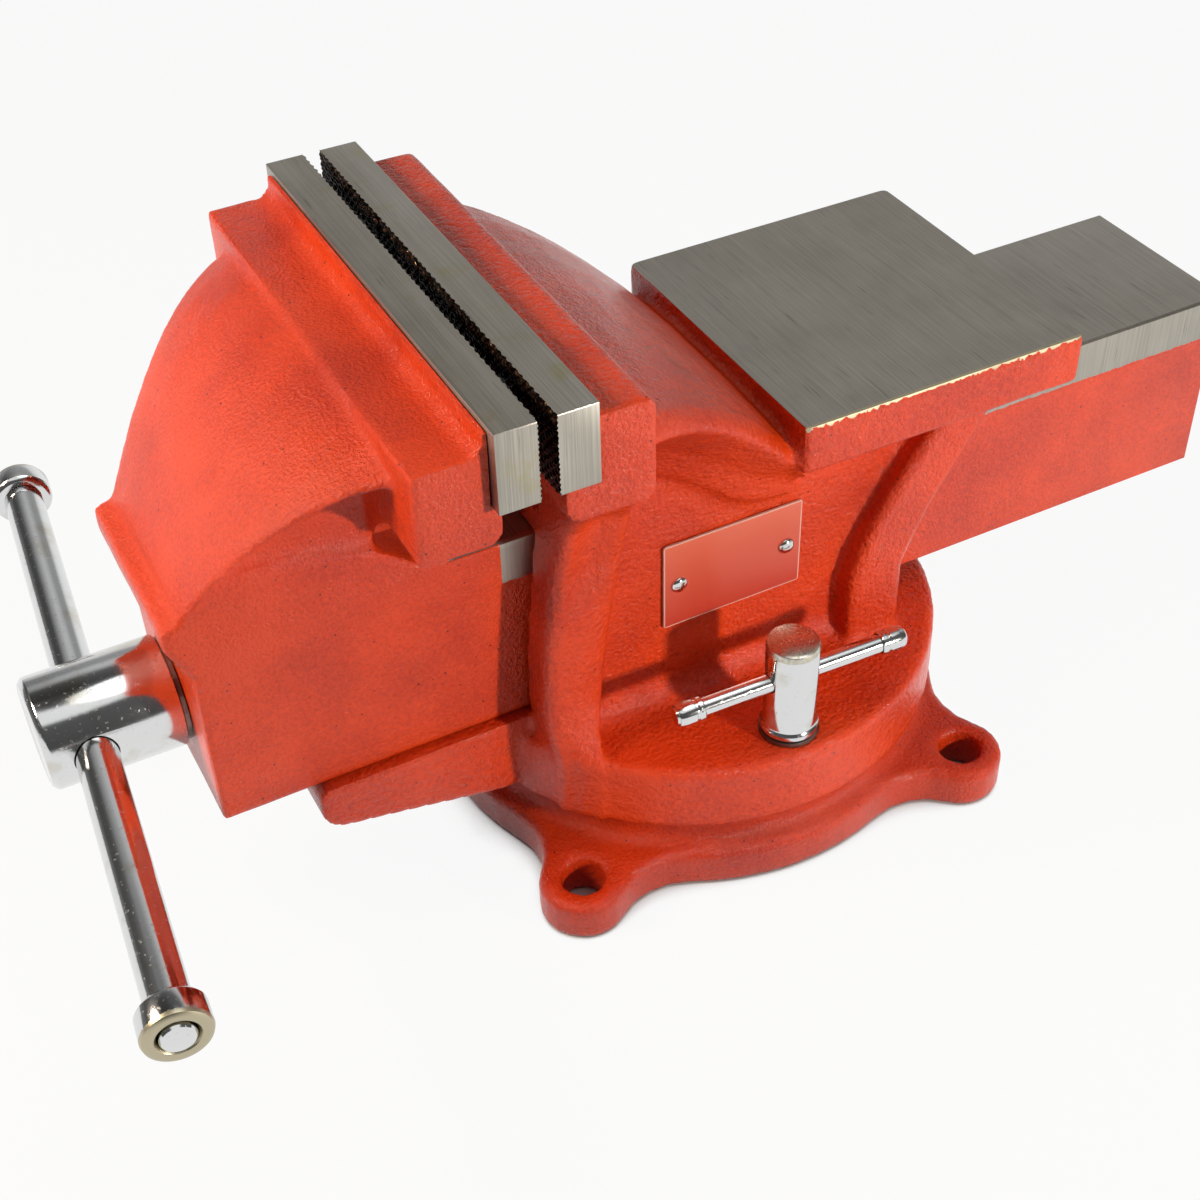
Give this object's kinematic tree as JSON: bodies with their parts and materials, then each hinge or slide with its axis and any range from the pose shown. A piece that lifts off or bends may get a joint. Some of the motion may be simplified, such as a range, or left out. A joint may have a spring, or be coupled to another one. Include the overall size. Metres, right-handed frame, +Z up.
{
  "type": "machinist bench vise",
  "caption": "Machinist bench vise on a swivel base: screw-driven sliding jaw, flat anvil, ground jaw plates, sliding handle and swivel lock nuts.",
  "frame": {"origin": "on the swivel axis, at the bench face of the base", "axes": "+X along the lead screw from the handle towards the anvil, +Y to the vise's far side, +Z up"},
  "size_m": [0.3859, 0.2306, 0.187],
  "materials": {
    "red_enamel": "glossy enamel over a sand-cast skin",
    "ground_steel": "ground, bare",
    "bright_chrome": "bright plate with small scratches",
    "plain_steel": "oiled, bare",
    "cast_iron": "rough, oiled",
    "plate_red": "printed sheet"
  },
  "bodies": {
    "base": {"swivel_base": "red_enamel"},
    "turntable": {"fixed_body": "red_enamel", "fixed_jaw_plate": "ground_steel", "fixed_plate_screw_0": "plain_steel", "fixed_plate_screw_1": "plain_steel", "lead_nut": "cast_iron", "nut_bolt": "plain_steel", "nameplate": "plate_red", "nameplate_rivet_0": "bright_chrome", "nameplate_rivet_1": "bright_chrome", "lock_stud_near": "plain_steel", "lock_stud_far": "plain_steel", "lock_washer_near": "plain_steel", "lock_washer_far": "plain_steel"},
    "jaw_carriage": {"moving_jaw": "red_enamel", "moving_jaw_plate": "ground_steel", "moving_plate_screw_0": "plain_steel", "moving_plate_screw_1": "plain_steel"},
    "screw": {"lead_screw": "bright_chrome", "thrust_washer": "plain_steel", "retaining_collar": "cast_iron", "collar_pin": "plain_steel"},
    "handle": {"screw_handle": "bright_chrome", "handle_cap_lower": "bright_chrome", "handle_cap_upper": "bright_chrome"},
    "lock_turner_near": {"lock_nut_near": "bright_chrome"},
    "lock_slider_near": {"lock_bar_near": "bright_chrome", "lock_bar_collar_near_0": "bright_chrome", "lock_bar_collar_near_1": "bright_chrome"},
    "lock_turner_far": {"lock_nut_far": "bright_chrome"},
    "lock_slider_far": {"lock_bar_far": "bright_chrome", "lock_bar_collar_far_0": "bright_chrome", "lock_bar_collar_far_1": "bright_chrome"}
  },
  "joints": [
    {"name": "body_swivel", "type": "hinge", "parent": "base", "child": "turntable", "pos_m": [0, 0, 0], "axis": [0, 0, 1], "continuous": true},
    {"name": "jaw_slide", "type": "slide", "parent": "turntable", "child": "jaw_carriage", "axis": [1, 0, 0], "range_m": [-0.1456, 0.0042]},
    {"name": "screw_turn", "type": "hinge", "parent": "jaw_carriage", "child": "screw", "pos_m": [-0.1636, 0, 0.0794], "axis": [1, 0, 0], "range_deg": [-8735, 251]},
    {"name": "handle_slide", "type": "slide", "parent": "screw", "child": "handle", "axis": [0.0924, 0.9957, 0], "range_m": [-0.0882, 0.0882]},
    {"name": "lock_nut_turn_near", "type": "hinge", "parent": "turntable", "child": "lock_turner_near", "pos_m": [-0.00238, -0.06826, 0], "axis": [0, 0, 1], "range_deg": [0, 15]},
    {"name": "lock_bar_slide_near", "type": "slide", "parent": "lock_turner_near", "child": "lock_slider_near", "axis": [0.9994, -0.0349, 0], "range_m": [-0.0212, 0.0212]},
    {"name": "lock_nut_turn_far", "type": "hinge", "parent": "turntable", "child": "lock_turner_far", "pos_m": [0.00238, 0.06826, 0], "axis": [0, 0, 1], "range_deg": [0, 15]},
    {"name": "lock_bar_slide_far", "type": "slide", "parent": "lock_turner_far", "child": "lock_slider_far", "axis": [-0.9994, 0.0349, 0], "range_m": [-0.0212, 0.0212]}
  ],
  "couplings": [
    {"joint": "jaw_slide", "follows": "screw_turn", "m_per_rad": 0.00095493}
  ]
}
